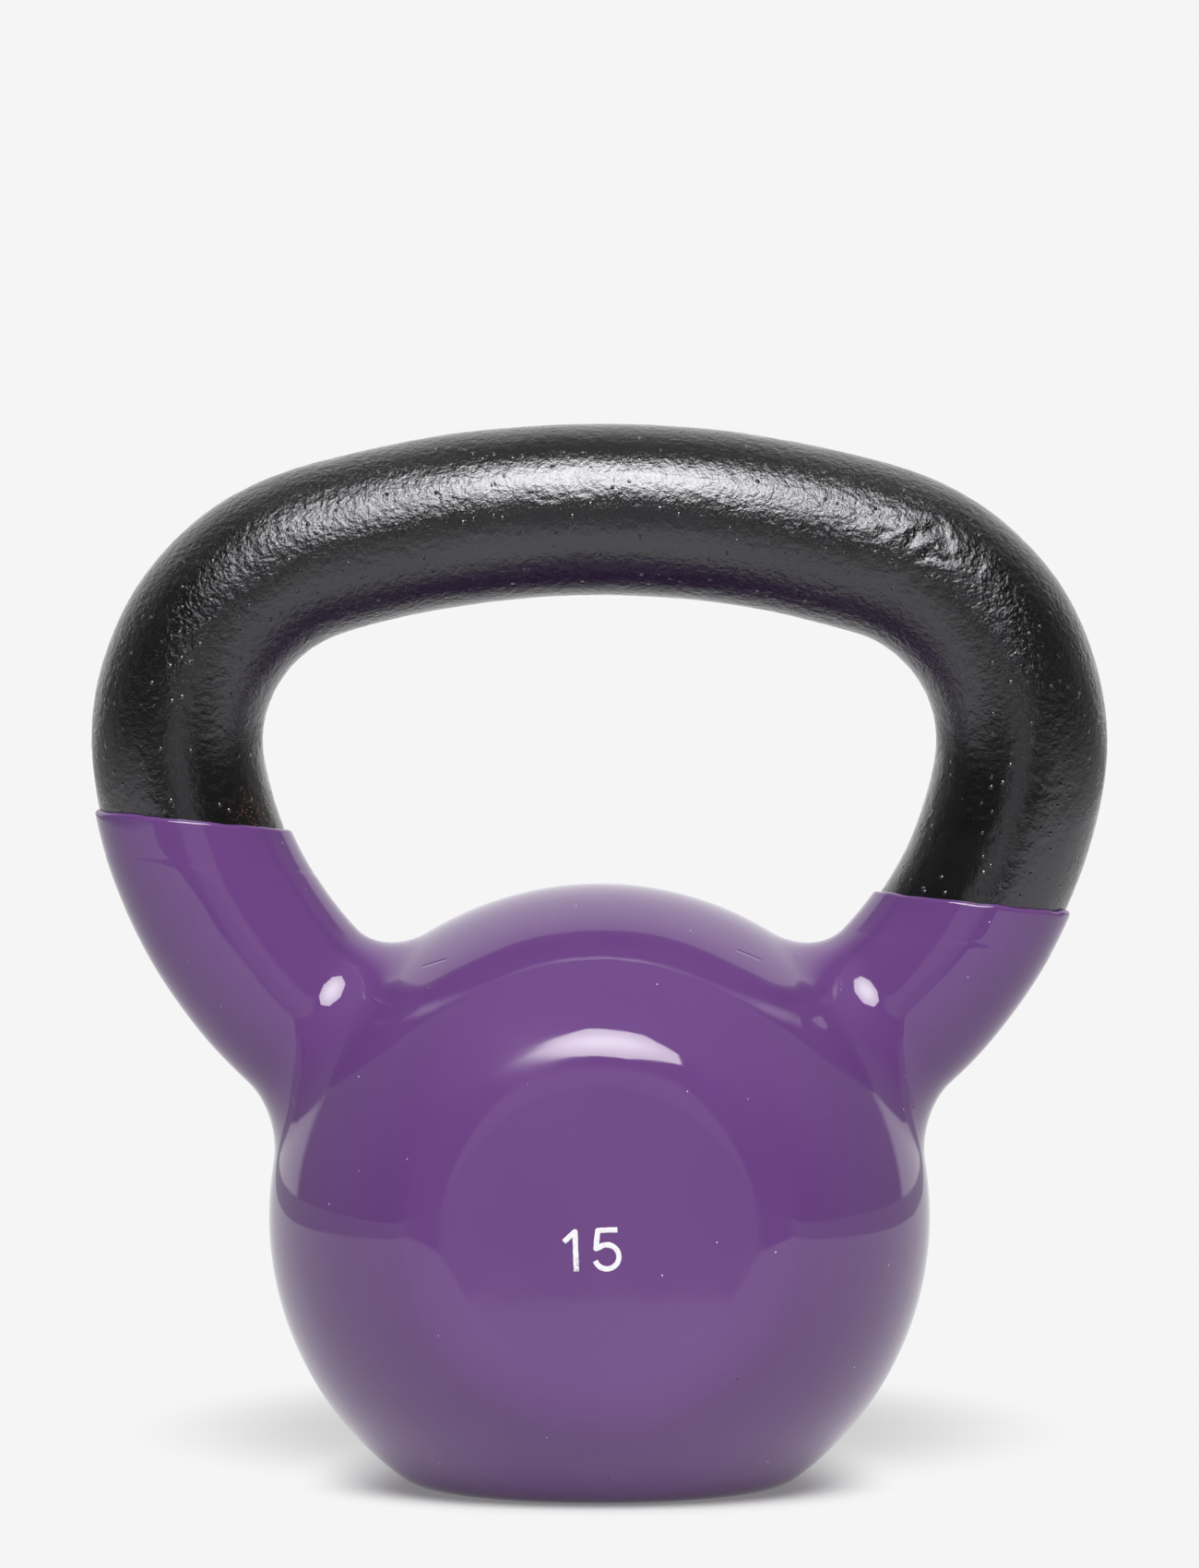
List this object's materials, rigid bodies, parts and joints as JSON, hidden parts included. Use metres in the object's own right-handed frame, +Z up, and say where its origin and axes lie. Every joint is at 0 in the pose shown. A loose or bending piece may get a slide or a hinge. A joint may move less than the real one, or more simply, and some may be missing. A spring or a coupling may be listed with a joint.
{
  "type": "kettlebell",
  "caption": "Cast iron kettlebell with a flat-faced ball, a D-shaped two-hand grip, and a purple dipped vinyl jacket over the ball and the horn roots.",
  "frame": {"origin": "centre of the flat base, on the floor", "axes": "+Z up through the grip, -Y out of the numbered front flat, X along the grip; the jacket's edge is higher on the -X horn"},
  "size_m": [0.178, 0.098, 0.1866],
  "materials": {
    "black_enamel": "gloss black enamel over a sand-cast skin",
    "purple_vinyl": "gloss dipped vinyl, slightly wavy",
    "white_ink": "white screen ink"
  },
  "bodies": {
    "root": {"cast_iron_body": "black_enamel", "vinyl_jacket": "purple_vinyl", "numeral_1": "white_ink", "numeral_5": "white_ink"}
  },
  "joints": []
}
